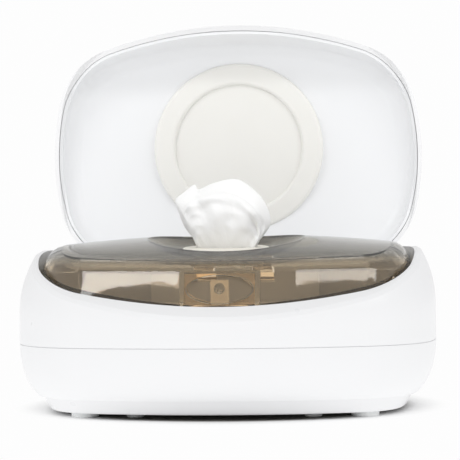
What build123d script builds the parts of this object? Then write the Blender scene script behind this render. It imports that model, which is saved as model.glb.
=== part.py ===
"""Baby wipe warmer: an oval housing, a smoked inner cover and a white outer lid, standing open.

Millimetres, +Z up, the front looks along -Y. Everything is laid out about the middle of the
housing with the lid shut. The lid is then turned open, and on export everything is shifted in Y
so that the origin is the bottom centre of the open object.
"""
from build123d import *
from math import asin, cos, radians, sin, sqrt
import os

# ---------------------------------------------------------------- driving dimensions
body_half_x = 120.6          # housing, half width at its widest
body_half_y = 82.0           # housing, half depth at its widest
seam_z = 41.0                # parting line between the base shell and the top shell
seam_groove = 0.4            # shadow line at the parting line, wide and deep
floor_gap = 3.2              # underside of the base shell above the table
plinth_z = 11.5              # top of the short steeper plinth
plinth_inset = 12.7          # plinth inside the housing's outline, at its top
plinth_taper = 5.0           # and how much further in it is at the bottom
wall = 2.6                   # moulded wall of the housing

side_radius = 1.71 * body_half_y     # the housing's outline is made of tangent arcs
end_radius = 2.40 * body_half_x
corner_radius = 0.63 * body_half_y

bowl_turn = 17.0             # how far the base shell turns in, as a quarter ellipse
bowl_height = 32.0
shoulder_start = 62.0        # the top shell starts to turn in here
shoulder_turn = 28.0
shoulder_height = 42.0
top_tilt = 11.0              # the shoulder leans forward, degrees

rim_end_y = body_half_y - 5   # the rim is a curve in side view through these three heights
rim_front_z = 59.5
rim_mid_z = 92.4
rim_back_z = 82.0
rim_bevel = 1.5

opening_y = -6.0             # widest line of the opening
opening_half_x = body_half_x - 12.1
opening_front = body_half_y - 14
opening_back = body_half_y - 25
opening_side_radius = side_radius - 12
opening_end_radius = end_radius - 12
opening_corner_radius = corner_radius - 11
opening_front_y = opening_y - opening_front
skirt_depth = 9.0            # wall round the opening, hanging below the rim
skirt_wall = 1.8

tub_half_x = body_half_x - 20.6      # inner tub, outside
tub_half_y = body_half_y - 30.6
tub_corner = 16.0
tub_floor_z = 14.0
tub_top_z = 49.0
tub_wall = 1.6
flange_z = 38.6              # underside of the tub's flange
flange_thick = 1.6
rebate = 1.3                 # ledge in the base shell's edge that carries the flange

screw_x = 50.0               # four screws join the shells, beside the tub
screw_y = tub_half_y + 4.2
screw_radius = 1.5
screw_clear = 0.1
boss_radius = 3.7
head_radius = 2.6
head_z = 28.0                # seat of the screw heads

outer_foot_x = body_half_x - 41.6
outer_foot_y = body_half_y - 44
outer_foot_radius = 7.8
inner_foot_x = body_half_x - 70.6
inner_foot_y = body_half_y - 41
inner_foot_radius = 5.0
foot_recess = 0.8

stack_half_x = tub_half_x - 5.0      # folded wipes in the tub
stack_half_y = tub_half_y - 2.9
stack_top_z = 60.0
plate_low_z = 12.4           # heater plate, film and insulation pad hang under the tub's floor
film_low_z = 12.0
pad_low_z = 9.0
board_y = tub_half_y + 6.6   # control board, standing behind the tub
board_top_z = 36.0
board_screw_z = 32.0
board_screws_x = (-36.0, 24.0)
jack_x = 66.0
jack_z = 24.0
jack_radius = 4.6
jack_face_y = body_half_y - 13.4

cover_gap = 0.8              # inner cover to opening
cover_wall = 2.4
cover_low_z = 44.0           # the cover's walls are drawn between these heights, then trimmed
cover_high_z = 106.0
cover_top_corner = 34.0
cover_top_z = 102.0
cover_crown_x = 900.0        # crown radii across and along
cover_crown_y = 165.0
cover_crest_y = 8.0
cover_round = 13.0
cover_front_lean = 0.40      # the front wall leans back this much per millimetre of height
cover_tuck = 3.0             # how far the cover reaches below the rim
cover_tuck_lift = 3.5        # less at the back, where it swings

dish_y = -9.0                # centre of the dish round the orifice
dish_radius = 50.0
dish_floor_radius = 26.5
dish_floor_z = 92.4
dish_tilt = 3.0
orifice_radius = 21.0
lip_radius = 25.4            # orifice seal
lip_height = 2.2
slot_half_x = 16.8
slot_half_y = 3.6

pad_half_x = 18.0            # release pad
pad_half_z = 7.5
pad_z = 72.2
pad_gap = 0.4
pad_proud = 0.7
pad_depth = 4.0
pad_travel = 2.0
stem_radius = 3.0
hook_half_x = 5.0
keeper_z = 51.6              # underside and inner edge of the ledge that the hook holds
keeper_y = opening_front_y + 2.9
hook_y = keeper_y + 10.5     # back of the hook's leg, and front of its toe
hook_front = keeper_y - 1.6
guide_y = hook_y + 5.1       # front of the plate that guides the stem
guide_thick = 2.5
spring_wire = 0.45

lid_inset = 2.0              # lid outline inside the housing's outline
lid_wall = 2.6
lid_low_z = 50.0
lid_high_z = 118.0
lid_top_z = 114.0
lid_crown_x = 900.0
lid_crown_y = 240.0
lid_crest_y = 10.0
lid_round = 16.0
lid_lean = 0.015
lip_front_z = 60.4           # lower edge of the lid when it is shut, at rim_end_y, 0, rim_end_y
lip_mid_z = 87.6
lip_back_z = 89.0
lid_gap = 0.7                # lid to housing when shut
liner_gap = 0.3
liner_wall = 1.6
liner_recess = 1.2           # edge of the liner above the lid's edge
ring_radius = 55.0           # lid seal
ring_inner = 41.0
ring_height = 10.0
ring_face_z = 100.3
ring_tilt = 6.4
ring_edge = 2.6
disc_recess = 3.0
disc_thick = 2.4

hinge_y = body_half_y - 5.5
hinge_z = 76.0
pin_radius = 1.75
pin_clearance = 0.06
knuckle_radius = 4.0
roll_radius = 8.6            # the rear edge of the housing, round the hinge
ear_in = 8.0                 # across: inner ear, cover arm, middle ear, lid arm, outer ear
cover_arm_in = 12.0
cover_arm_out = 24.0
lid_arm_in = 30.0
lid_arm_out = 42.0
ear_out = 50.0
arm_gap = 1.0
lid_open = 98.0              # turn from shut to open

origin_shift = -21.0


# ---------------------------------------------------------------- outlines
def tangent_corner(half_x, end_y, side_r, end_r, corner_r):
    """Centre of the corner arc, tangent to a side arc and an end arc, in the first quadrant."""
    sx, ey = half_x - side_r, end_y - end_r
    d1, d2 = side_r - corner_r, end_r - corner_r
    d = sqrt(sx * sx + ey * ey)
    along = (d1 * d1 - d2 * d2 + d * d) / (2 * d)
    off = sqrt(d1 * d1 - along * along)
    ux, uy = -sx / d, ey / d
    return sx + along * ux + off * abs(uy), along * uy + off * abs(ux)


def on_circle(cx, cy, tx, ty, r):
    """Point at distance r from (cx, cy) on the way through (tx, ty)."""
    d = sqrt((tx - cx) ** 2 + (ty - cy) ** 2)
    return cx + r * (tx - cx) / d, cy + r * (ty - cy) / d


def quarter(half_x, end_y, side_r, end_r, corner_r):
    """Corner points and arc middles of one quarter of an oval, from the side to the end."""
    kx, ky = tangent_corner(half_x, end_y, side_r, end_r, corner_r)
    sx, ey = half_x - side_r, end_y - end_r
    a = on_circle(sx, 0, kx, ky, side_r)
    b = on_circle(0, ey, kx, ky, end_r)
    mid = on_circle(kx, ky, (a[0] + b[0]) / 2, (a[1] + b[1]) / 2, corner_r)
    return a, mid, b


def oval(half_x, front, back, side_r, end_r, corner_r, inset=0.0):
    """Closed outline of eight tangent arcs, widest on its own X axis."""
    hx, side_r, end_r = half_x - inset, side_r - inset, end_r - inset
    corner_r = max(corner_r - inset, 1.0)
    fa, fm, fb = quarter(hx, front - inset, side_r, end_r, corner_r)
    ba, bm, bb = quarter(hx, back - inset, side_r, end_r, corner_r)
    right = ThreePointArc((fa[0], -fa[1]), (hx, 0), ba)
    back_right = ThreePointArc(ba, bm, bb)
    rear = ThreePointArc(bb, (0, back - inset), (-bb[0], bb[1]))
    back_left = ThreePointArc((-bb[0], bb[1]), (-bm[0], bm[1]), (-ba[0], ba[1]))
    left = ThreePointArc((-ba[0], ba[1]), (-hx, 0), (-fa[0], -fa[1]))
    front_left = ThreePointArc((-fa[0], -fa[1]), (-fm[0], -fm[1]), (-fb[0], -fb[1]))
    face = ThreePointArc((-fb[0], -fb[1]), (0, -(front - inset)), (fb[0], -fb[1]))
    front_right = ThreePointArc((fb[0], -fb[1]), (fm[0], -fm[1]), (fa[0], -fa[1]))
    arcs = [right, back_right, rear, back_left, left, front_left, face, front_right]
    return make_face(Curve() + arcs)


def body_oval(inset, stretch=1.0):
    return oval(body_half_x, body_half_y * stretch, body_half_y * stretch,
                side_radius, end_radius, corner_radius, inset)


def opening_oval(inset, front=opening_front, corner=opening_corner_radius):
    return Pos(0, opening_y, 0) * oval(opening_half_x, front, opening_back, opening_side_radius,
                                       opening_end_radius, corner, inset)


def ring(outer, inner, low_z, high_z):
    """Straight wall between two outlines."""
    return extrude(Pos(0, 0, low_z) * (outer - inner), high_z - low_z)


def block(x0, x1, y0, y1, z0, z1):
    return Pos((x0 + x1) / 2, (y0 + y1) / 2, (z0 + z1) / 2) * Box(x1 - x0, y1 - y0, z1 - z0)


def post(x, y, z0, z1, radius):
    return Pos(x, y, (z0 + z1) / 2) * Cylinder(radius, z1 - z0)


def corners(x, y):
    return [(x, y), (-x, y), (-x, -y), (x, -y)]


def both_sides(shape):
    return shape + mirror(shape, Plane.YZ)


def across(x0, x1, radius):
    """Round bar on the hinge's axis."""
    return Pos((x0 + x1) / 2, hinge_y, hinge_z) * Rot(0, 90, 0) * Cylinder(radius, x1 - x0)


# ---------------------------------------------------------------- shared forms
def side_curve(front_z, mid_z, back_z, drop=0.0):
    """Everything below a curve drawn in side view, as a wide solid."""
    reach = body_half_y + 60
    bend = ((front_z + back_z) / 2 - mid_z) / rim_end_y ** 2
    slope = (back_z - front_z) / (2 * rim_end_y)
    near, far = -rim_end_y - 12, rim_end_y + 12
    near_z = bend * near ** 2 + slope * near + mid_z - drop
    far_z = bend * far ** 2 + slope * far + mid_z - drop
    with BuildSketch(Plane.YZ) as profile:
        with BuildLine():
            ThreePointArc((near, near_z), (0, mid_z - drop), (far, far_z))
            Polyline((far, far_z), (reach, far_z), (reach, -80), (-reach, -80),
                     (-reach, near_z), (near, near_z))
        make_face()
    return extrude(profile.sketch, 150, both=True)


def below_rim(drop=0.0):
    return side_curve(rim_front_z, rim_mid_z, rim_back_z, drop)


def below_cover_edge():
    return side_curve(rim_front_z, rim_mid_z, rim_back_z + cover_tuck_lift, cover_tuck)


def below_lip(drop=0.0):
    return side_curve(lip_front_z, lip_mid_z, lip_back_z, drop)


def turn_in(depth, height, turn):
    """Quarter-ellipse turn-in of a wall, depth millimetres past where it starts."""
    u = min(max(depth / height, 0.0), 0.98)
    return turn * (1 - sqrt(1 - u * u))


def lower_form(inset, floor_z):
    """Bowl of the base shell and the plinth under it, from floor_z up to the seam."""
    steps = 6
    low_z = plinth_z + floor_z - floor_gap
    last = asin((seam_z - low_z) / bowl_height)
    faces = []
    for i in range(steps + 1):
        z = seam_z - bowl_height * sin(last * i / steps)
        faces.append(Pos(0, 0, z) * body_oval(inset + bowl_turn * (1 - cos(last * i / steps))))
    bowl = loft(faces)
    low = Pos(0, 0, floor_z) * body_oval(inset + plinth_inset + plinth_taper)
    high = Pos(0, 0, low_z + 0.5) * body_oval(inset + plinth_inset)
    plinth = loft([low, high], ruled=True)
    plinth = fillet(plinth.faces().sort_by(Axis.Z)[0].edges(), 2.5)
    return bowl + plinth


def upper_form(inset):
    """Top shell before its opening: sections that lean forward as they rise."""
    steps = 6
    top = 98.0
    faces = []
    for i in range(steps + 1):
        z = seam_z + (top - seam_z) * i / steps
        tilt = top_tilt * min(1.0, (z - seam_z) / 40)
        lean = Plane(origin=(0, 0, z), x_dir=(1, 0, 0),
                     z_dir=(0, -sin(radians(tilt)), cos(radians(tilt))))
        shift = inset + turn_in(z - shoulder_start, shoulder_height, shoulder_turn)
        faces.append(lean * body_oval(shift, 1 / cos(radians(tilt))))
    return loft(faces)


def crown(top_z, crest_y, along_x, along_y):
    """Solid under a gently domed top: an arc across X turned about an axis along X."""
    half = 135.0
    axis_z = top_z - along_y
    edge = top_z - (along_x - sqrt(along_x ** 2 - half ** 2))
    with BuildSketch(Plane.XZ) as profile:
        with BuildLine():
            ThreePointArc((-half, edge), (0, top_z), (half, edge))
            Polyline((half, edge), (half, axis_z + 1), (-half, axis_z + 1), (-half, edge))
        make_face()
    barrel = revolve(profile.sketch, Axis((0, 0, axis_z), (1, 0, 0)), 360)
    core = Pos(0, 0, axis_z) * Rot(0, 90, 0) * Cylinder(1.5, 2 * half)
    return Pos(0, crest_y, 0) * (barrel + core)


def is_upright(edge):
    return abs(edge.tangent_at(0.5).Z) > 0.8


def cap_form(low, high, low_z, high_z, dome, edge_round):
    """Oval walls leaning in, under a dome, with the edge between them rounded."""
    walls = loft([Pos(0, 0, low_z) * low, Pos(0, 0, high_z) * high], ruled=True)
    body = walls & dome
    top_edges = [e for e in body.edges() if e.center().Z > low_z + 5 and not is_upright(e)]
    return fillet(top_edges, edge_round)


def cover_front(z):
    """Distance of the cover's front wall from the opening's widest line."""
    return opening_front - cover_gap - (z - rim_front_z) * cover_front_lean


def cover_form(inset):
    low = opening_oval(cover_gap + inset, cover_front(cover_low_z) + cover_gap)
    high = opening_oval(cover_gap + 1 + inset, cover_front(cover_high_z) + cover_gap,
                        cover_top_corner)
    dome = crown(cover_top_z - inset, cover_crest_y, cover_crown_x - inset, cover_crown_y - inset)
    return cap_form(low, high, cover_low_z, cover_high_z, dome, cover_round - inset)


def lid_form(inset):
    low = body_oval(lid_inset + inset)
    high = body_oval(lid_inset + inset + (lid_high_z - lid_low_z) * lid_lean)
    dome = crown(lid_top_z - inset, lid_crest_y, lid_crown_x - inset, lid_crown_y - inset)
    return cap_form(low, high, lid_low_z, lid_high_z, dome, lid_round - inset)


def dish_solid(deeper):
    """What the dish takes out of the cover's crown, turned about the orifice's axis."""
    far = dish_radius + 12
    rise = 9.4
    with BuildSketch(Plane.XZ) as profile:
        with BuildLine():
            Line((0, -deeper), (dish_floor_radius, -deeper))
            Spline((dish_floor_radius, -deeper), (dish_radius - 6, rise - 3 - deeper),
                   (far, rise + 12 - deeper), tangents=((1, 0), (0.75, 1)))
            Polyline((far, rise + 12 - deeper), (far, 40), (0, 40), (0, -deeper))
        make_face()
    bowl = revolve(profile.sketch, Axis.Z, 360)
    return Pos(0, dish_y, dish_floor_z) * Rot(dish_tilt, 0, 0) * bowl


def lift_lid(shape):
    """Turns a shape of the shut lid to where it stands open."""
    return Pos(0, hinge_y, hinge_z) * Rot(-lid_open, 0, 0) * Pos(0, -hinge_y, -hinge_z) * shape


# ---------------------------------------------------------------- housing
def base_shell():
    shell = lower_form(0, floor_gap) - lower_form(wall, floor_gap + wall)
    shell -= extrude(Pos(0, 0, flange_z) * body_oval(rebate), seam_z - flange_z + 1)
    shell -= seam_line()
    for x, y in corners(screw_x, screw_y):
        shell -= post(x, y, 0, floor_gap + wall + 2, head_radius + 0.3)
        boss = post(x, y, floor_gap + 1, flange_z, boss_radius)
        boss -= post(x, y, 0, head_z, head_radius + 0.3)
        shell += boss - post(x, y, head_z - 1, seam_z, screw_radius + screw_clear)
    for x, y, radius in feet_places():
        shell -= post(x, y, 0, floor_gap + foot_recess, radius + 0.15)
    for y in (-26, 26):
        shell += block(-70, 70, y - 1, y + 1, floor_gap + wall - 0.5, pad_low_z)
    for x in board_screws_x:
        shell += block(x - 3, x + 3, board_y - 2.6, board_y, floor_gap + wall - 0.5, board_top_z)
        shell -= along_y(x, board_screw_z, board_y - 2.7, board_y + 1, 0.9)
    low_y = jack_face_y - 6.6
    holder = block(jack_x - 7.7, jack_x + 7.7, low_y, low_y + 16, jack_z - 7.7, jack_z + 7.7)
    shell += holder & lower_form(0.8, floor_gap + 0.8)
    shell -= block(jack_x - 5.7, jack_x + 5.7, low_y - 12, low_y + 5, jack_z - 5.7, jack_z + 5.7)
    shell -= along_y(jack_x, jack_z, low_y - 2, low_y + 30, jack_radius + 0.2)
    return shell


def seam_line():
    half = seam_groove / 2
    return ring(body_oval(-3), body_oval(seam_groove), seam_z - half, seam_z + half)


def feet_places():
    outer = [(x, y, outer_foot_radius) for x, y in corners(outer_foot_x, outer_foot_y)]
    inner = [(x, y, inner_foot_radius) for x, y in corners(inner_foot_x, inner_foot_y)]
    return outer + inner


def along_y(x, z, y0, y1, radius):
    return Pos(x, (y0 + y1) / 2, z) * Rot(90, 0, 0) * Cylinder(radius, y1 - y0)


def top_shell():
    outer = upper_form(0) & below_rim()
    rim = [e for e in outer.edges() if e.center().Z > seam_z + 6 and not is_upright(e)]
    outer = chamfer(rim, rim_bevel)
    behind = block(-140, 140, hinge_y - 4, 130, hinge_z, 120) - across(-150, 150, roll_radius)
    outer -= behind
    shell = outer - (upper_form(wall) & below_rim(wall))
    shell += block(-ear_out - 2, ear_out + 2, hinge_y - 14.5, hinge_y + 8, 54, 92) & outer
    shell -= extrude(Pos(0, 0, seam_z) * opening_oval(0), 80)
    skirt = ring(opening_oval(-skirt_wall), opening_oval(0), seam_z, 110) & below_rim(1)
    shell += skirt - below_rim(skirt_depth)
    shell += block(-7, 7, opening_front_y - 1.5, keeper_y, keeper_z, keeper_z + 2.4)
    room = upper_form(wall - 0.6)
    for x, y in corners(screw_x, screw_y):
        side = 1 if y > 0 else -1
        rib = block(x - 1.1, x + 1.1, min(y, side * 130), max(y, side * 130), seam_z, 54) & room
        shell += rib + post(x, y, flange_z + flange_thick, 54, boss_radius)
        shell -= post(x, y, 30, 52, screw_radius + screw_clear)
    shell -= seam_line()
    knuckle_room = knuckle_radius + 0.5
    near = cover_arm_in - arm_gap
    far = cover_arm_out + arm_gap
    slot = block(near, far, hinge_y - 36, hinge_y, hinge_z - knuckle_room, 120)
    slot += block(near, far, hinge_y - 1, 120, hinge_z, 120)
    slot += across(near, far, knuckle_room)
    slot += block(lid_arm_in - arm_gap, lid_arm_out + arm_gap, hinge_y - 10.5, 120, 58, 120)
    slot += across(ear_in, ear_out + 3, pin_radius + pin_clearance)
    return shell - both_sides(slot)


def hinge_pins():
    return [across(ear_in + 0.3, ear_out, pin_radius), across(-ear_out, -ear_in - 0.3, pin_radius)]


def tub_outline(inset):
    return RectangleRounded(2 * (tub_half_x - inset), 2 * (tub_half_y - inset), tub_corner - inset)


def inner_tub():
    cup = extrude(Pos(0, 0, tub_floor_z) * tub_outline(0), tub_top_z - tub_floor_z)
    cup = fillet(cup.faces().sort_by(Axis.Z)[0].edges(), 6)
    room = extrude(Pos(0, 0, tub_floor_z + tub_wall) * tub_outline(tub_wall), tub_top_z)
    room = fillet(room.faces().sort_by(Axis.Z)[0].edges(), 6 - tub_wall)
    flange = extrude(Pos(0, 0, flange_z) * body_oval(rebate + 0.15), flange_thick)
    for x, y in corners(screw_x, screw_y):
        flange -= post(x, y, 30, 50, screw_radius + 0.5)
    return cup + flange - room


def tub_gasket():
    low = flange_z + flange_thick
    return ring(body_oval(rebate + 0.1), body_oval(rebate + 2.1), low, seam_z)


def wipe_stack():
    low = tub_floor_z + tub_wall
    stack = extrude(Pos(0, 0, low) * RectangleRounded(2 * stack_half_x, 2 * stack_half_y, 12),
                    stack_top_z - low)
    return fillet(stack.edges().filter_by(is_upright, reverse=True), 6)


def heater_outline():
    return RectangleRounded(1.6 * tub_half_x, 1.56 * tub_half_y, 8)


def heater_plate():
    return extrude(Pos(0, 0, plate_low_z) * heater_outline(), tub_floor_z - plate_low_z)


def heater_film():
    film = offset(heater_outline(), -5) + Pos(0, 0.78 * tub_half_y - 2) * Rectangle(12, 8)
    return extrude(Pos(0, 0, film_low_z) * film, plate_low_z - film_low_z)


def insulation_pad():
    outline = heater_outline() - Pos(40, 0) * Rectangle(15, 5)
    outline -= Pos(-40, 0) * Rectangle(12, 5)
    return extrude(Pos(0, 0, pad_low_z) * outline, film_low_z - pad_low_z)


def thermal_fuse():
    fuse = Pos(40, 0, film_low_z - 1.8) * Rot(0, 90, 0) * Cylinder(1.8, 11)
    return fillet(fuse.edges().filter_by(GeomType.CIRCLE), 0.6)


def temperature_sensor():
    bead = Pos(-40, 0, film_low_z - 1.6) * Rot(0, 90, 0) * Cylinder(1.6, 6)
    return fillet(bead.edges().filter_by(GeomType.CIRCLE), 1.2)


def control_board():
    board = block(-42, 30, board_y, board_y + 1.6, 15, board_top_z)
    for x in board_screws_x:
        board -= along_y(x, board_screw_z, board_y - 1, board_y + 3, 1.2)
    return board


def power_module():
    module = block(-24, -4, board_y + 1.6, board_y + 8, 17, 29)
    for x in (-20, -16, -12, -8):
        module -= block(x - 0.9, x + 0.9, board_y + 5, board_y + 9, 16, 30)
    return module


def capacitor():
    can = along_y(8, 24, board_y + 1.6, board_y + 12, 4.0)
    return fillet(can.faces().sort_by(Axis.Y)[-1].edges(), 0.8)


def board_connector():
    body = block(19, 28, board_y + 1.6, board_y + 7, 17, 27)
    return body - block(20, 27, board_y + 3, board_y + 8, 18, 26)


def board_screws():
    found = []
    for x in board_screws_x:
        head = along_y(x, board_screw_z, board_y + 1.6, board_y + 2.8, 2.0)
        found.append(head + along_y(x, board_screw_z, board_y - 2.5, board_y + 1.7, 0.85))
    return found


def wire(path, radius=0.8):
    start = Plane(origin=path @ 0, z_dir=path % 0)
    return sweep(start * Circle(radius), path=path)


def heater_leads():
    """From the film's tab, under the tub's edge and up to the foot of the board."""
    found = []
    for x in (-2.5, 2.5):
        start = 0.78 * tub_half_y + 2.8
        under = (x, tub_half_y, film_low_z + 1.4)
        found.append(wire(ThreePointArc((x, start, film_low_z + 0.2), under, (x, board_y - 0.9, 21))))
    return found


def jack_leads():
    """From the side of the jack to the connector on the board, in one shallow bow."""
    found = []
    for z in (jack_z - 2, jack_z + 2):
        bow = ThreePointArc((jack_x - 6.4, board_y + 1, z), (45, board_y + 5.2, z),
                            (28.9, board_y + 4, z))
        found.append(wire(bow))
    return found


def dc_jack():
    back = jack_face_y - 11.6
    body = block(jack_x - 5.5, jack_x + 5.5, back, back + 9.9, jack_z - 5.5, jack_z + 5.5)
    body += along_y(jack_x, jack_z, back + 9, jack_face_y, jack_radius)
    body -= along_y(jack_x, jack_z, back + 4, jack_face_y + 5, 3.1)
    return body + along_y(jack_x, jack_z, back + 3, jack_face_y - 1, 1.0)


def housing_screws():
    found = []
    for x, y in corners(screw_x, screw_y):
        screw = post(x, y, head_z - 2, head_z, head_radius) + post(x, y, head_z - 1, 50, screw_radius)
        screw -= Pos(x, y, head_z - 1.6) * (Box(3.4, 0.8, 1.4) + Box(0.8, 3.4, 1.4))
        found.append(screw)
    return found


def feet(places):
    found = []
    for x, y, radius in places:
        foot = post(x, y, 0, floor_gap + foot_recess, radius)
        found.append(fillet(foot.faces().sort_by(Axis.Z)[0].edges(), 0.9))
    return found


# ---------------------------------------------------------------- inner cover
def orifice_axis(shape):
    return Pos(0, dish_y, dish_floor_z) * Rot(dish_tilt, 0, 0) * shape


def tinted_cover():
    outside = cover_form(0) - dish_solid(0)
    inside = cover_form(cover_wall) - dish_solid(cover_wall)
    shell = outside - inside - below_cover_edge()
    shell -= orifice_axis(Cylinder(orifice_radius, 30))
    frame = block(-22, 22, opening_front_y, guide_y + guide_thick, 63, 82)
    frame &= Pos(0, 1, 0) * cover_form(0)
    frame -= block(-19.5, 19.5, opening_front_y - 2, guide_y, 60, 80.5)
    frame -= along_y(0, pad_z, guide_y - 3, guide_y + 5, stem_radius + 0.15)
    shell += frame
    shell -= pad_prism(pad_gap)
    back_y = opening_y + opening_back - 1
    with BuildSketch(Plane.YZ) as side:
        with BuildLine():
            Polyline((back_y - 6, 95.5), (back_y - 6, 86), (hinge_y - 2.4, hinge_z - 3.2),
                     (hinge_y + 2.4, hinge_z + 3.2), (back_y + 10, 92), (back_y - 6, 95.5))
        make_face()
    arm = Pos(cover_arm_in, 0, 0) * extrude(side.sketch, cover_arm_out - cover_arm_in)
    arm += across(cover_arm_in, cover_arm_out, knuckle_radius)
    arm -= across(cover_arm_in - 1, cover_arm_out + 1, pin_radius + pin_clearance)
    return shell + both_sides(arm - cover_form(cover_wall))


def pad_prism(gap):
    outline = Ellipse(pad_half_x + gap, pad_half_z + gap)
    return Pos(0, guide_y + 7, pad_z) * Rot(90, 0, 0) * extrude(outline, 45)


def release_pad():
    ahead = Pos(0, -pad_proud, 0) * cover_form(0)
    behind = Pos(0, pad_depth - pad_proud, 0) * cover_form(0)
    pad = (pad_prism(0) & ahead) - behind
    return pad + along_y(0, pad_z, hook_y - 6, guide_y + guide_thick + 2.5, stem_radius)


def latch_hook():
    leg = block(-hook_half_x, hook_half_x, hook_y - 1.6, hook_y, keeper_z - 2.8, pad_z + 4.6)
    toe = block(-hook_half_x, hook_half_x, hook_front, hook_y, keeper_z - 2.8, keeper_z - 0.5)
    nose = Pos(0, hook_front, keeper_z - 2.8) * Rot(45, 0, 0) * Box(20, 1.6, 1.6)
    return leg + toe - nose - along_y(0, pad_z, hook_y - 3, hook_y + 1, stem_radius)


def pad_spring():
    room = guide_y - hook_y - 2 * spring_wire
    turns = Helix(pitch=room / 3, height=room, radius=stem_radius + 1.1)
    start = Plane(origin=turns @ 0, z_dir=turns % 0)
    coil = sweep(start * Circle(spring_wire), path=turns)
    return Pos(0, guide_y - spring_wire, pad_z) * Rot(90, 0, 0) * coil


def orifice_seal():
    flange = Cylinder(lip_radius, lip_height, align=(Align.CENTER, Align.CENTER, Align.MIN))
    flange = fillet(flange.faces().sort_by(Axis.Z)[-1].edges(), 1.3)
    plug = Pos(0, 0, -1.9) * Cylinder(orifice_radius - 0.05, 4)
    slot = Pos(0, 0, -10) * extrude(SlotOverall(2 * slot_half_x, 2 * slot_half_y), 30)
    funnel = Pos(0, 0, lip_height + 5.4) * scale(Sphere(8), (3.0, 1.6, 1))
    return orifice_axis(flange + plug - slot - funnel)


def popped_wipe():
    sizes = [(93.2, 16, 2.8), (97, 16, 3.0), (106, 25, 9), (117, 27, 8), (127, 19, 6),
             (133, 9, 2.6)]
    faces = [Pos(0, dish_y, z) * Ellipse(a, b) for z, a, b in sizes]
    return loft(faces)


# ---------------------------------------------------------------- outer lid, drawn shut
def shut_room():
    """The top shell's outside, grown by the gap that the shut lid keeps from it."""
    return upper_form(-lid_gap) & below_rim(-lid_gap)


def lid_shell():
    shell = lid_form(0) - lid_form(lid_wall) - below_lip() - shut_room()
    arm = block(lid_arm_in, lid_arm_out, hinge_y - knuckle_radius, hinge_y + 3.1, hinge_z, 101)
    arm = (arm & lid_form(0.4)) + across(lid_arm_in, lid_arm_out, knuckle_radius)
    arm += block(lid_arm_in, lid_arm_out, hinge_y - 3.9, hinge_y + 0.6, hinge_z, 92)
    arm -= across(lid_arm_in - 1, lid_arm_out + 1, pin_radius + pin_clearance)
    return shell + both_sides(arm)


def lid_liner():
    start = lid_wall + liner_gap
    liner = lid_form(start) - lid_form(start + liner_wall)
    liner -= below_lip(-liner_recess)
    liner -= shut_room()
    liner -= both_sides(block(lid_arm_in - 0.6, lid_arm_out + 0.6, 68, 84, 70, 104))
    return liner


def on_ring_face(corner):
    return corner.X > ring_inner - 1 and abs(corner.Y) + abs(corner.Z) < 0.1


def lid_seal():
    with BuildSketch(Plane.XZ) as profile:
        with BuildLine():
            Polyline((0, disc_recess), (ring_inner, disc_recess), (ring_inner, 0), (ring_radius, 0),
                     (ring_radius, ring_height + 4), (ring_inner + 3, ring_height + 4),
                     (ring_inner + 3, disc_recess + disc_thick), (0, disc_recess + disc_thick),
                     (0, disc_recess))
        make_face()
        fillet(profile.vertices().filter_by(on_ring_face), ring_edge)
    seal = revolve(profile.sketch, Axis.Z, 360)
    seal = Pos(0, dish_y, ring_face_z) * Rot(ring_tilt, 0, 0) * seal
    return seal & lid_form(lid_wall + liner_gap + liner_wall)


# ---------------------------------------------------------------- export
def main():
    fixed = {
        "base_shell": base_shell(),
        "top_shell": top_shell(),
        "inner_tub": inner_tub(),
        "tub_gasket": tub_gasket(),
        "wipe_stack": wipe_stack(),
        "heater_plate": heater_plate(),
        "heater_film": heater_film(),
        "insulation_pad": insulation_pad(),
        "thermal_fuse": thermal_fuse(),
        "temperature_sensor": temperature_sensor(),
        "control_board": control_board(),
        "power_module": power_module(),
        "capacitor": capacitor(),
        "board_connector": board_connector(),
        "board_screws": board_screws(),
        "heater_leads": heater_leads(),
        "jack_leads": jack_leads(),
        "dc_jack": dc_jack(),
        "housing_screws": housing_screws(),
        "hinge_pins": hinge_pins(),
        "outer_feet": feet(feet_places()[:4]),
        "inner_feet": feet(feet_places()[4:]),
        "tinted_cover": tinted_cover(),
        "orifice_seal": orifice_seal(),
        "release_pad": release_pad(),
        "latch_hook": latch_hook(),
        "pad_spring": pad_spring(),
        "popped_wipe": popped_wipe(),
    }
    lid = {
        "lid_shell": lid_shell(),
        "lid_liner": lid_liner(),
        "lid_seal": lid_seal(),
    }
    os.makedirs("parts", exist_ok=True)
    place = Pos(0, origin_shift, 0)
    for name, shape in fixed.items():
        solids = shape if isinstance(shape, list) else [shape]
        write(name, [place * s for s in solids])
    for name, shape in lid.items():
        write(name, [place * lift_lid(shape)])


def write(name, solids):
    whole = solids[0] if len(solids) == 1 else Compound(children=solids)
    export_step(whole, "parts/" + name + ".step")


main()
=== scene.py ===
# %% [markdown]
# A baby wipe warmer stands on a white table with its lid open. The moulded shells, the smoked
# cover, the pad and everything inside come from the CAD frame, so they already have their true
# shapes. This lesson gives each of them a finish, makes the one piece that CAD is poor at, a soft
# wipe standing in the orifice, and then sets up the table, the light and the camera.

# %% Load the frame
import bpy
import bmesh
from math import cos, pi, radians, sin, sqrt
from mathutils import Matrix, Vector, noise


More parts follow.
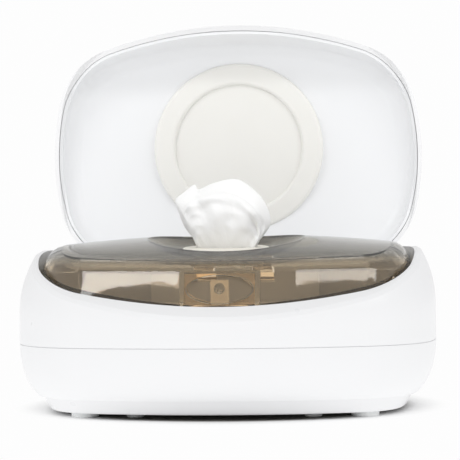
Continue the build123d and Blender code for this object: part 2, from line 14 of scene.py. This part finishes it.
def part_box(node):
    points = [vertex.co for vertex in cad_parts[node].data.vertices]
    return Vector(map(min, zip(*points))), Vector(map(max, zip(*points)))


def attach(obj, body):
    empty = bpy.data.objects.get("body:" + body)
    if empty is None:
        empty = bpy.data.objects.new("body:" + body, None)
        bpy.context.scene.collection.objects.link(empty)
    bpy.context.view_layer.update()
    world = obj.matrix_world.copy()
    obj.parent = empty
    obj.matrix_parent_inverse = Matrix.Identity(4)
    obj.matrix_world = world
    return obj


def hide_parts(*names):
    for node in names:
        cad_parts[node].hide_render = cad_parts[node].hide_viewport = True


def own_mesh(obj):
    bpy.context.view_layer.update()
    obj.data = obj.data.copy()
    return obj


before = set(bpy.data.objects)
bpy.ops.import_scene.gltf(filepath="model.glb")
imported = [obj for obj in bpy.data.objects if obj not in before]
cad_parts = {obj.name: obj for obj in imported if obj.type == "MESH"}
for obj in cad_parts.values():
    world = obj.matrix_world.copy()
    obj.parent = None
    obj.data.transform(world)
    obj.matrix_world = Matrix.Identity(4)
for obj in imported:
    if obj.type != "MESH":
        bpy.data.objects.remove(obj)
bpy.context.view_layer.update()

# %% [markdown]
# Finishes are written as short formulas. A small class wraps one output of a node, so that
# noise * 0.3 + 0.5 adds the two Math nodes by itself. Colours are mixed with Mix nodes instead,
# because a Math node would turn them grey.

# %% Sockets that do arithmetic
class Value:
    """One output socket; arithmetic on it adds Math nodes to its finish."""

    def __init__(self, finish, socket):
        self.finish = finish
        self.socket = socket

    def math(self, operation, first, second):
        return self.finish.node("ShaderNodeMath", {"operation": operation}, {0: first, 1: second})

    def __add__(self, other):
        return self.math("ADD", self, other)

    def __radd__(self, other):
        return self.math("ADD", other, self)

    def __mul__(self, other):
        return self.math("MULTIPLY", self, other)

    def __rmul__(self, other):
        return self.math("MULTIPLY", other, self)

    def above(self, edge):
        return self.math("GREATER_THAN", self, edge)

    def larger(self, other):
        return self.math("MAXIMUM", self, other)


print("sockets ready")

# %% [markdown]
# A finish is one material. Its node method makes any node: the kind, then the settings, then the
# values or links of its sockets. Patterns read Object coordinates, apart from those on the
# standing wipe. They are true metres on every piece here, so a grain of half a millimetre is the
# same size on the lid and on a foot.

# %% The finish writer
class Finish:
    """A material under construction, with one Principled shader."""

    def __init__(self, name, color, roughness, **constant):
        self.material = bpy.data.materials.new(name)
        self.material.use_nodes = True
        self.tree = self.material.node_tree
        self.shader = self.tree.nodes["Principled BSDF"]
        self.set("Base Color", (*color, 1.0))
        self.set("Roughness", roughness)
        for socket, value in constant.items():
            self.set(socket.replace("_", " "), value)
        self.place = self.node("ShaderNodeTexCoord", {}, {}, "Object")

    def node(self, kind, settings, sockets, output=0):
        made = self.tree.nodes.new(kind)
        for name, value in settings.items():
            setattr(made, name, value)
        for key, value in sockets.items():
            self.feed(made.inputs[key], value)
        return Value(self, made.outputs[output])

    def feed(self, socket, value):
        if isinstance(value, Value):
            self.tree.links.new(value.socket, socket)
        else:
            socket.default_value = value

    def set(self, name, value):
        self.feed(self.shader.inputs[name], value)

    def stretched(self, x, y, z):
        return self.node("ShaderNodeMapping", {}, {"Vector": self.place, "Scale": (x, y, z)})

    def grain(self, scale, detail=2.0, where=None):
        sockets = {"Vector": where or self.place, "Scale": scale, "Detail": detail}
        return self.node("ShaderNodeTexNoise", {}, sockets, "Fac")

    def between(self, value, low, high):
        """Goes smoothly from 0 where the value is low to 1 where it is high."""
        return self.node("ShaderNodeMapRange", {"interpolation_type": "SMOOTHSTEP"},
                         {"Value": value, "From Min": low, "From Max": high})

    def tint(self, amount, first, second):
        colors = {"A": (*first, 1.0), "B": (*second, 1.0)}
        mixed = self.tree.nodes.new("ShaderNodeMix")
        mixed.data_type = "RGBA"
        self.feed(mixed.inputs["Factor"], amount)
        for key, color in colors.items():
            socket = [s for s in mixed.inputs if s.name == key and s.type == "RGBA"][0]
            socket.default_value = color
        out = [s for s in mixed.outputs if s.type == "RGBA"][0]
        return Value(self, out)

    def bump(self, height, strength, distance):
        sockets = {"Height": height, "Strength": strength, "Distance": distance}
        self.set("Normal", self.node("ShaderNodeBump", {}, sockets))


print("finish writer ready")

# %% [markdown]
# The shells, the liner, the tub and the small mouldings are injection-moulded plastic, semi-gloss
# and almost white. Real mouldings are never quite even. The colour drifts a little over some
# seven centimetres and the polish over two, and close up the skin has an orange peel finer than a
# millimetre. Each is a noise of its own. The photographed lid and housing are about equally
# white. Here the housing gets more light than the lid does, and its white is written darker so
# that the two come out alike, which they would not do under an even light.

# %% Moulded white plastic
drift_scale, polish_scale, peel_scale = 14.0, 45.0, 1400.0
polish_range = 0.10
skin_height = 0.0002


def moulded(name, light, shade, roughness, peel=0.06):
    finish = Finish(name, light, roughness, IOR=1.48)
    slow = finish.grain(drift_scale)
    finish.set("Base Color", finish.tint(slow, light, shade))
    finish.set("Roughness", finish.grain(polish_scale) * polish_range + (roughness - 0.05))
    finish.bump(finish.grain(peel_scale, 1.0), peel, skin_height)
    return finish.material


shell_white = moulded("housing moulded white", (0.750, 0.753, 0.761), (0.735, 0.738, 0.747), 0.30)
lid_white = moulded("lid moulded white", (0.850, 0.853, 0.860), (0.835, 0.838, 0.846), 0.30)
# The liner's white is written lighter than the lid's. This is painted light on the inside of the lid,
# which gets too little light here.
liner_white = moulded("lid liner white", (0.885, 0.892, 0.904), (0.868, 0.876, 0.889), 0.36)
tub_white = moulded("tub satin white", (0.78, 0.78, 0.77), (0.74, 0.74, 0.73), 0.48, 0.12)
latch_white = moulded("latch moulding", (0.70, 0.70, 0.69), (0.66, 0.66, 0.65), 0.45, 0.12)
nylon = moulded("connector nylon", (0.78, 0.76, 0.68), (0.72, 0.70, 0.62), 0.5, 0.1)
print("white mouldings:", shell_white.name, lid_white.name, liner_white.name, tub_white.name)

# %% [markdown]
# The inner cover and its release pad are smoked see-through plastic with a high polish. Light goes in,
# bounces about in the white tub and comes back brown. Transmission in the Principled shader does that
# with the cover's wall thickness. The plastic's own tint is a light amber, as on the wall. On the dome
# the colour goes over to a deep brown between two heights. That brown is painted shade for the dome's
# darker look, on plastic that has one tint throughout.

# %% Smoked see-through plastic
wall_amber = (0.98, 0.81, 0.59)
# Deep brown painted on the dome as shade.
dome_painted_shade = (0.39, 0.37, 0.325)
wall_top, dome_foot = 0.083, 0.091


def smoked(name):
    finish = Finish(name, wall_amber, 0.05, IOR=1.5, Transmission_Weight=0.97,
                    Specular_IOR_Level=0.4)
    height = finish.node("ShaderNodeSeparateXYZ", {}, {"Vector": finish.place}, "Z")
    # Above these heights the dome gets the painted shade instead of the amber tint.
    dome_shade_amount = finish.between(height, wall_top, dome_foot)
    finish.set("Base Color", finish.tint(dome_shade_amount, wall_amber, dome_painted_shade))
    finish.set("Roughness", finish.grain(30.0) * 0.01 + 0.015)
    finish.bump(finish.grain(160.0, 1.0), 0.01, skin_height)
    return finish.material


cover_smoke = smoked("cover smoked brown")
pad_smoke = smoked("pad smoked brown")
print("smoked plastics:", cover_smoke.name, pad_smoke.name)

# %% [markdown]
# The seal in the lid, the lip of the orifice, the gasket and the feet are silicone: soft satin
# rubber that lets a little light in. A small constant subsurface weight gives that depth, and a
# fine mottled noise keeps it from looking like paint.

# %% Silicone
def silicone(name, light, shade, roughness=0.5, depth=0.15):
    finish = Finish(name, light, roughness, Subsurface_Weight=depth, Subsurface_Scale=0.002,
                    Subsurface_Radius=(1.0, 0.95, 0.9))
    finish.set("Base Color", finish.tint(finish.grain(60.0, 4.0), light, shade))
    finish.set("Roughness", finish.grain(220.0) * 0.12 + (roughness - 0.06))
    finish.bump(finish.grain(2600.0, 1.0), 0.12, skin_height)
    return finish.material


seal_cream = silicone("seal cream silicone", (0.855, 0.847, 0.812), (0.835, 0.826, 0.79))
lip_cream = silicone("orifice cream silicone", (0.86, 0.83, 0.76), (0.82, 0.79, 0.71))
foot_clear = silicone("foot pale silicone", (0.80, 0.81, 0.81), (0.74, 0.75, 0.75), 0.4, 0.3)
gasket_grey = silicone("gasket grey silicone", (0.42, 0.42, 0.41), (0.38, 0.38, 0.37))
print("silicones:", seal_cream.name, lip_cream.name, foot_clear.name, gasket_grey.name)

# %% [markdown]
# Metal parts are the pins, screws, spring, fuse, capacitor can and the rolled heater plate. Drawn
# or rolled metal has long fine scratches, so the noise is stretched along the direction of
# drawing.

# %% Metals
scratch_shade = 0.86


def metal(name, color, roughness, along=(40.0, 900.0, 900.0)):
    finish = Finish(name, color, roughness, Metallic=1.0)
    lines = finish.grain(1.0, 3.0, finish.stretched(*along))
    finish.set("Roughness", lines * 0.25 + (roughness - 0.12))
    finish.set("Base Color", finish.tint(lines, color, tuple(c * scratch_shade for c in color)))
    finish.bump(lines, 0.1, 0.0001)
    return finish.material


pin_steel = metal("hinge pin steel", (0.62, 0.62, 0.63), 0.30)
screw_zinc = metal("screw zinc", (0.60, 0.61, 0.63), 0.38, (700.0, 700.0, 120.0))
spring_steel = metal("spring wire steel", (0.56, 0.56, 0.58), 0.28)
fuse_tin = metal("fuse tinned body", (0.66, 0.64, 0.60), 0.34)
plate_aluminium = metal("heater plate rolled aluminium", (0.74, 0.75, 0.76), 0.36)
can_sleeve = metal("capacitor sleeve", (0.10, 0.12, 0.20), 0.42)
print("metals:", pin_steel.name, screw_zinc.name, spring_steel.name, plate_aluminium.name)

# %% [markdown]
# Below the tub lie an amber heater film with a printed track and an insulation pad of felt. They
# hardly show, but each still gets its own finish. The film's track is a wave, printed only where
# it stands above a level, and the felt is a stretched fibre noise.

# %% Heater film and felt
film_amber = (0.42, 0.20, 0.05)
crest = 0.62

film = Finish("heater film amber", film_amber, 0.3)
track = film.node("ShaderNodeTexWave", {"bands_direction": "Y"},
                  {"Vector": film.place, "Scale": 55.0, "Distortion": 0.0}, "Fac")
printed = track.above(crest)
film.set("Base Color", film.tint(printed, film_amber, (0.62, 0.42, 0.24)))
film.set("Metallic", printed * 0.7)
film.bump(track, 0.15, 0.0002)

felt = Finish("insulation felt", (0.42, 0.41, 0.38), 0.95, Sheen_Weight=0.3)
fibres = felt.grain(900.0, 5.0, felt.stretched(1.0, 2.5, 1.0))
felt.set("Base Color", felt.tint(fibres, (0.36, 0.35, 0.32), (0.52, 0.51, 0.47)))
felt.bump(fibres, 0.5, 0.0006)
print("under the tub:", film.material.name, felt.material.name)

# %% [markdown]
# Behind the tub stands the control board. Its copper shows as a grid of fine lines under green
# varnish, for which a brick pattern with thin joints does well enough at this size. The leads,
# the jack, the power module and the dipped sensor are pigmented plastic: one colour with a darker
# mottle.

# %% Circuit board, moulded black and wires
varnish_green = (0.02, 0.16, 0.06)
board = Finish("board green varnish", varnish_green, 0.32)
copper = board.node("ShaderNodeTexBrick", {},
                    {"Vector": board.stretched(60.0, 60.0, 60.0), "Scale": 4.0,
                     "Mortar Size": 0.03}, "Fac")
board.set("Base Color", board.tint(copper, varnish_green, (0.05, 0.27, 0.10)))
board.bump(copper, 0.3, 0.0001)

mottle_scale, mottle_shade = 500.0, 0.75


def pigmented(name, color, roughness):
    finish = Finish(name, color, roughness)
    mottle = finish.grain(mottle_scale, 3.0)
    finish.set("Base Color", finish.tint(mottle, color, tuple(c * mottle_shade for c in color)))
    finish.set("Roughness", mottle * 0.2 + (roughness - 0.1))
    finish.bump(mottle, 0.15, 0.0002)
    return finish.material


black_moulding = pigmented("black moulding", (0.030, 0.030, 0.033), 0.5)
sensor_bead = pigmented("sensor dipped bead", (0.040, 0.040, 0.048), 0.22)
wire_red = pigmented("lead red sleeve", (0.42, 0.03, 0.025), 0.42)
wire_black = pigmented("lead black sleeve", (0.025, 0.025, 0.026), 0.42)
print("electrical finishes:", board.material.name, black_moulding.name, wire_red.name)

# %% [markdown]
# The wipes are thin non-woven cloth, embossed with a small repeating dimple and faintly fibrous.
# The dimples are a Voronoi pattern in bump only, over a fine fibre noise. On the standing wipe
# both follow the sheet's own UV map, whose unit is about the sheet's width, and in the folded
# stack they read Object coordinates in metres, so the two cloths have scales of their own.

# %% Non-woven cloth
def nonwoven(name, light, shade, coordinates, fibre_scale, dimple_scale):
    finish = Finish(name, light, 0.85, Sheen_Weight=0.25, Subsurface_Weight=0.2,
                    Subsurface_Scale=0.002, Subsurface_Radius=(1.0, 1.0, 1.0))
    where = finish.node("ShaderNodeTexCoord", {}, {}, coordinates)
    threads = finish.grain(fibre_scale, 5.0, where)
    dimple = finish.node("ShaderNodeTexVoronoi", {"feature": "SMOOTH_F1"},
                         {"Vector": where, "Scale": dimple_scale}, "Distance")
    finish.set("Base Color", finish.tint(threads, light, shade))
    finish.bump(dimple * 0.7 + threads * 0.5, 0.35, 0.0006)
    return finish.material


# The standing wipe and the folded stack are one cloth in two colours. The wipe's is written lighter,
# which is painted light, and the stack's is written darker, which is painted shade.
wipe_cloth = nonwoven("wipe non-woven", (0.935, 0.935, 0.93), (0.905, 0.905, 0.90),
                      "UV", 130.0, 34.0)
stack_cloth = nonwoven("stacked wipes", (0.80, 0.80, 0.79), (0.72, 0.72, 0.71),
                       "Object", 700.0, 420.0)
print("cloth:", wipe_cloth.name, stack_cloth.name)

# %% [markdown]
# Every node of the frame takes one of these finishes. The dictionary below is the whole
# assignment, and a node left out of it would stop the script.

# %% Dress every node
finishes = {
    "base_shell": shell_white, "top_shell": shell_white, "lid_shell": lid_white,
    "lid_liner": liner_white, "lid_seal": seal_cream, "orifice_seal": lip_cream,
    "tinted_cover": cover_smoke, "release_pad": pad_smoke, "latch_hook": latch_white,
    "pad_spring": spring_steel, "inner_tub": tub_white, "tub_gasket": gasket_grey,
    "wipe_stack": stack_cloth, "popped_wipe": wipe_cloth, "heater_plate": plate_aluminium,
    "heater_film": film.material, "insulation_pad": felt.material, "thermal_fuse": fuse_tin,
    "temperature_sensor": sensor_bead, "control_board": board.material,
    "power_module": black_moulding, "capacitor": can_sleeve, "board_connector": nylon,
    "board_screws": screw_zinc, "housing_screws": screw_zinc, "hinge_pins": pin_steel,
    "heater_leads": wire_red, "jack_leads": wire_black, "dc_jack": black_moulding,
    "outer_feet": foot_clear, "inner_feet": foot_clear,
}
for name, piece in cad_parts.items():
    for slot in piece.material_slots:
        slot.material = finishes[name]
print("dressed", len(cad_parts), "nodes")

# %% [markdown]
# The wipe stands up through the orifice as one sheet pulled halfway: it leaves the slot, swells,
# folds over at the top and goes back into the slot behind. Its outline seen from the front, with
# a pointed corner on the left, is a smooth curve through a few places, given in metres from the
# middle of the slot. Everything inside that outline is blended from the neck out to it.

# %% The wipe's outline
slot_below_lip = 0.0035
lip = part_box("orifice_seal")
slot_z = lip[1][2] - slot_below_lip
slot_y = (lip[0][1] + lip[1][1]) / 2
outline = [Vector(place) for place in (
    (-0.0150, 0.004), (-0.0233, 0.0135), (-0.0276, 0.0245), (-0.0288, 0.0300), (-0.0235, 0.0345),
    (-0.0180, 0.0385), (-0.0155, 0.0357), (-0.0060, 0.0395), (0.0069, 0.0414), (0.0178, 0.0340),
    (0.0236, 0.0260), (0.0259, 0.0168), (0.0230, 0.0105), (0.0165, 0.003))]
corner_index = 3


def on_outline(part):
    """Point of the outline at 0 (left neck) to 1 (right neck), on a Catmull-Rom curve."""
    place = part * (len(outline) - 1)
    i = min(int(place), len(outline) - 2)
    t = place - i
    before = outline[max(i - 1, 0)]
    here, there = outline[i], outline[i + 1]
    after = outline[min(i + 2, len(outline) - 1)]
    return 0.5 * (2 * here + (there - before) * t
                  + (2 * before - 5 * here + 4 * there - after) * t * t
                  + (3 * here - before - 3 * there + after) * t * t * t)


corner = on_outline(corner_index / (len(outline) - 1))
print("corner on the left", [round(c, 4) for c in corner])

# %% [markdown]
# Depth comes from five things: the whole cloth is puffed like a bag, gathers run out from the
# neck like the ribs of a fan, one loose fold arches across the front from the corner on the left
# to the bulge on the right, and a soft crumple and narrow ridges lie over all of it. The back has
# the same puff, with other gathers and creases and without the fold. A place on the wipe is given
# by two shares: part goes from the left neck to the right one, and out from the neck to the rim.

# %% The wipe's folds
neck_gap = 0.0012
puff_depth = 0.0105
gather_depth = 0.0030
fold_depth = 0.0030
crumple_depth = 0.0012
ridge_depth = 0.0022


def ramp(value, low, high):
    t = max(0.0, min(1.0, (value - low) / (high - low)))
    return t * t * (3 - 2 * t)


def ripple(x, y, layer):
    return noise.noise(Vector((x, y, layer)))


def arched_fold(part, out):
    """Height of the loose fold on the front: it rises softly towards the arch and drops fast."""
    arch = 0.66 + 0.13 * sin(pi * (part * 1.15 - 0.05)) + 0.05 * ripple(part * 5, 0, 7)
    fold = fold_depth * (ramp(out, arch - 0.16, arch) - ramp(out, arch, arch + 0.05))
    return fold * (ramp(part, 0.10, 0.45) * ramp(1.0 - part, 0.05, 0.30))


def cloth_depth(part, out, side):
    """How far the cloth stands in front of or behind the slot, at a place inside the outline."""
    puff = puff_depth * sin(pi * min(1.0, 0.08 + 0.92 * out)) ** 0.7
    puff *= 0.45 + 0.55 * sin(pi * part)
    fan = ripple(part * 9.0, out * 1.4, 3.0 + side)
    gathers = gather_depth * fan * ramp(out, 0.05, 0.35) * (1.0 - 0.6 * ramp(out, 0.7, 1.0))
    fold = arched_fold(part, out) if side < 0 else 0.0
    crumple = crumple_depth * ripple(part * 7.0 + 4.0, out * 6.0, 8.0 + side)
    ridge = 0.3 - abs(ripple(part * 6.0 + out * 1.5, out * 4.5 - part, 5.0 + side))
    crumple += ridge_depth * ridge * (1.0 - 0.6 * ramp(out, 0.75, 1.0))
    return neck_gap + puff + gathers + fold + crumple * ramp(out, 0.1, 0.5)


print("depth in the middle of the front", round(cloth_depth(0.5, 0.5, -1.0), 4))

# %% [markdown]
# The sheet runs up the front, over the top and down the back, so one share, along, goes from -1 at
# the front neck over 0 at the top to 1 at the neck behind. The rim is averaged over its
# neighbours for the inner part of the cloth, which keeps the corner's point at the edge alone.

# %% Places on the wipe
neck_left, neck_width, neck_height = -0.0150, 0.0305, -0.0010
wave_height = 0.0012
rim_lean = 0.0012
neighbours = (-0.12, -0.06, 0.06, 0.12)


def cloth_point(part, along):
    """Place on the wipe, from the middle of the slot."""
    side = 1.0 if along > 0 else -1.0
    out = 1.0 - abs(along)
    rim = on_outline(part)
    neck = Vector((neck_left + neck_width * part, neck_height))
    nearby = (on_outline(max(0.0, min(1.0, part + step))) for step in neighbours)
    calm = sum(nearby, rim) / (len(neighbours) + 1)
    flat = neck.lerp(calm, out ** 0.85) + (rim - calm) * out ** 5
    wave = ripple(part * 4.0, out * 3.0, 1.0) * wave_height * out * (1.0 - out) * 4.0
    close = min(1.0, abs(along) * 7.0)
    y = side * cloth_depth(part, out, side) * close ** 0.6 - rim_lean * out
    return Vector((flat.x + wave, y, flat.y))


print("front of the puff", [round(c, 4) for c in cloth_point(0.5, -0.45)])

# %% [markdown]
# The sheet starts as a flat grid with its UV map, and every vertex is then moved to its place on the
# wipe. A cloth simulation could make such folds too, but it would not keep to this outline. A light
# smoothing softens the creases, and Solidify gives the cloth its thickness. The wipe rides on the
# inner cover.

# %% Bend the sheet
columns, rows = 130, 150
uv_stretch = 0.7
cloth_thickness = 0.0005


def make_wipe():
    mesh = bpy.data.meshes.new("standing wipe")
    sheet = bmesh.new()
    uv = sheet.loops.layers.uv.new("UVMap")
    bmesh.ops.create_grid(sheet, x_segments=columns, y_segments=rows, size=1.0)
    flat = {v: (v.co.x * 0.5 + 0.5, v.co.y) for v in sheet.verts}
    for face in sheet.faces:
        face.smooth = True
        for loop in face.loops:
            part, along = flat[loop.vert]
            loop[uv].uv = (part, along * uv_stretch + 0.5)
    for v, (part, along) in flat.items():
        v.co = cloth_point(part, along)
    bmesh.ops.smooth_vert(sheet, verts=sheet.verts, factor=0.4, use_axis_x=True,
                          use_axis_y=True, use_axis_z=True)
    bmesh.ops.translate(sheet, verts=sheet.verts, vec=(0.0, slot_y, slot_z))
    area = sum(face.calc_area() for face in sheet.faces)
    sheet.to_mesh(mesh)
    sheet.free()
    wipe = bpy.data.objects.new("wipe_cloth", mesh)
    bpy.context.scene.collection.objects.link(wipe)
    wipe.data.materials.append(wipe_cloth)
    return wipe, area


wipe, wipe_area = make_wipe()
thick = wipe.modifiers.new("thickness", "SOLIDIFY")
thick.thickness = cloth_thickness
thick.offset = 0.0
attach(wipe, "inner_cover")
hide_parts("popped_wipe")
sqrt(wipe_area * 0.62)
sqrt(wipe_area / 0.62)
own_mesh(wipe)
print("wipe area", round(wipe_area, 5))

# %% [markdown]
# The table is a wide white light table. Close to the object it is a matt surface that takes the
# object's shadow. Right under the plinth its colour is painted dark, a painted shadow that deepens the
# real one. Farther out it glows, and what the camera sees of it goes over to the same even white as
# the backdrop. Both distances are measured in an oval, as the body is wider than it is deep. For
# diffuse light the glow is stronger than white. Together with the surround and the lamps it makes the
# front of the housing, above the plinth, come out 20 to 26 percent brighter than its written colour.

# %% Table
table_white = (0.93, 0.93, 0.93)
# Painted shadow: the table's dark colour right under the plinth.
painted_contact_shadow = (0.22, 0.21, 0.195)
camera_white = 0.985
table_glow = 1.36
oval_narrowing = 0.83
shade_inner, shade_outer = 0.080, 0.092
glow_inner, glow_outer = 0.089, 0.108
table_reach = 6.0


def grey(level):
    return (level, level, level)


def table_material():
    finish = Finish("studio white", table_white, 0.9)
    path = finish.tree.nodes.new("ShaderNodeLightPath")
    seen_by = [Value(finish, path.outputs["Is " + kind + " Ray"])
               for kind in ("Camera", "Glossy", "Transmission")]
    seen = seen_by[0].larger(seen_by[1]).larger(seen_by[2])
    color = finish.tint(seen, grey(table_glow), grey(camera_white))
    glow = finish.node("ShaderNodeEmission", {}, {"Color": color, "Strength": 1.0})
    oval = finish.stretched(oval_narrowing, 1.0, 1.0)
    away = finish.node("ShaderNodeVectorMath", {"operation": "LENGTH"}, {0: oval}, "Value")
    outside_painted_shadow = finish.between(away, shade_inner, shade_outer)
    # The painted shadow under the plinth fades out between the two shade distances.
    finish.set("Base Color", finish.tint(outside_painted_shadow, painted_contact_shadow, table_white))
    far = finish.between(away, glow_inner, glow_outer)
    matt = Value(finish, finish.shader.outputs[0])
    surface = finish.node("ShaderNodeMixShader", {}, {0: far, 1: matt, 2: glow})
    finish.feed(finish.tree.nodes["Material Output"].inputs["Surface"], surface)
    return finish.material


def make_floor():
    mesh = bpy.data.meshes.new("table")
    plane = bmesh.new()
    bmesh.ops.create_grid(plane, x_segments=1, y_segments=1, size=table_reach)
    plane.to_mesh(mesh)
    plane.free()
    floor = bpy.data.objects.new("table_top", mesh)
    bpy.context.scene.collection.objects.link(floor)
    floor.data.materials.append(table_material())
    return floor


floor = make_floor()
print("table", floor.name)

# %% [markdown]
# An even white surround stands for the walls of the studio. It is white to the camera and through
# clear plastic, but it lights the object more gently, and reflections show that gentler level
# too.

# %% Surround
surround_light = 0.87


def make_surround():
    world = bpy.data.worlds.new("studio surround")
    world.use_nodes = True
    tree = world.node_tree
    back = tree.nodes["Background"]
    path = tree.nodes.new("ShaderNodeLightPath")
    seen = tree.nodes.new("ShaderNodeMath")
    seen.operation = "MAXIMUM"
    tree.links.new(path.outputs["Is Camera Ray"], seen.inputs[0])
    tree.links.new(path.outputs["Is Transmission Ray"], seen.inputs[1])
    level = tree.nodes.new("ShaderNodeMapRange")
    level.inputs["To Min"].default_value = surround_light
    level.inputs["To Max"].default_value = camera_white
    tree.links.new(seen.outputs[0], level.inputs["Value"])
    back.inputs["Color"].default_value = (1, 1, 1, 1)
    tree.links.new(level.outputs[0], back.inputs["Strength"])
    bpy.context.scene.world = world
    return world


world = make_surround()
print("surround", world.name)

# %% [markdown]
# Two long soft boxes hang above the camera: a shorter one on the left, brighter for its size, and
# a longer one on the right. A polished cover shows its lamps, so they hang and turn where their
# mirror images fall in the upper part of the cover's front wall, as two pale bands.

# %% Lamps
box_width = 0.22
key_place, key_target = (-0.7264, -1.0332, 1.1892), (-0.1868, 0.1650, 0.0334)
key_length, key_roll, key_power = 0.711, 9.0, 3.5
fill_place, fill_target = (0.9260, -0.9897, 1.2009), (0.4715, 0.2312, 0.0324)
fill_length, fill_roll, fill_power = 1.103, -5.43, 3.8


def soft_box(name, place, target, length, roll, power):
    lamp = bpy.data.lights.new(name, "AREA")
    lamp.shape = "RECTANGLE"
    lamp.size, lamp.size_y = length, box_width
    lamp.energy = power
    holder = bpy.data.objects.new(name, lamp)
    aim = (Vector(target) - Vector(place)).to_track_quat("-Z", "Y").to_matrix().to_4x4()
    holder.matrix_world = Matrix.Translation(place) @ aim @ Matrix.Rotation(radians(roll), 4, "Z")
    bpy.context.scene.collection.objects.link(holder)


soft_box("key", key_place, key_target, key_length, key_roll, key_power)
soft_box("fill", fill_place, fill_target, fill_length, fill_roll, fill_power)

# %% [markdown]
# The camera stands a metre from the middle of the body and 11 centimetres above the table, four
# degrees to the right of straight on, with a long lens. Its axes are built from those angles, with the
# slight tilt that the picture shows. The lens is worked out from the picture's width and its
# focal length, both in pixels.

# %% Camera
distance = 1.0
eye_height = 0.1088
center_y = -0.021
turn, pitch, tilt = 0.071, -0.0044, 0.0125
aside = 0.0017
focal_pixels, picture_pixels = 1711.0, 460.0
sensor = 36.0

eye = Vector((distance * sin(turn), center_y - distance * cos(turn), eye_height))
look = turn - aside
forward = Vector((-sin(look), cos(look), 0.0)) + Vector((0.0, 0.0, pitch))
lens = bpy.data.cameras.new("camera")
lens.sensor_width = sensor
lens.lens = focal_pixels / picture_pixels * sensor
camera = bpy.data.objects.new("camera", lens)
aimed = forward.normalized().to_track_quat("-Z", "Y").to_matrix().to_4x4()
camera.matrix_world = Matrix.Translation(eye) @ aimed @ Matrix.Rotation(-tilt, 4, "Z")
bpy.context.scene.collection.objects.link(camera)
bpy.context.scene.camera = camera
bpy.context.scene.view_settings.view_transform = "Standard"
print("camera at", [round(c, 3) for c in eye], "lens", round(lens.lens, 1))
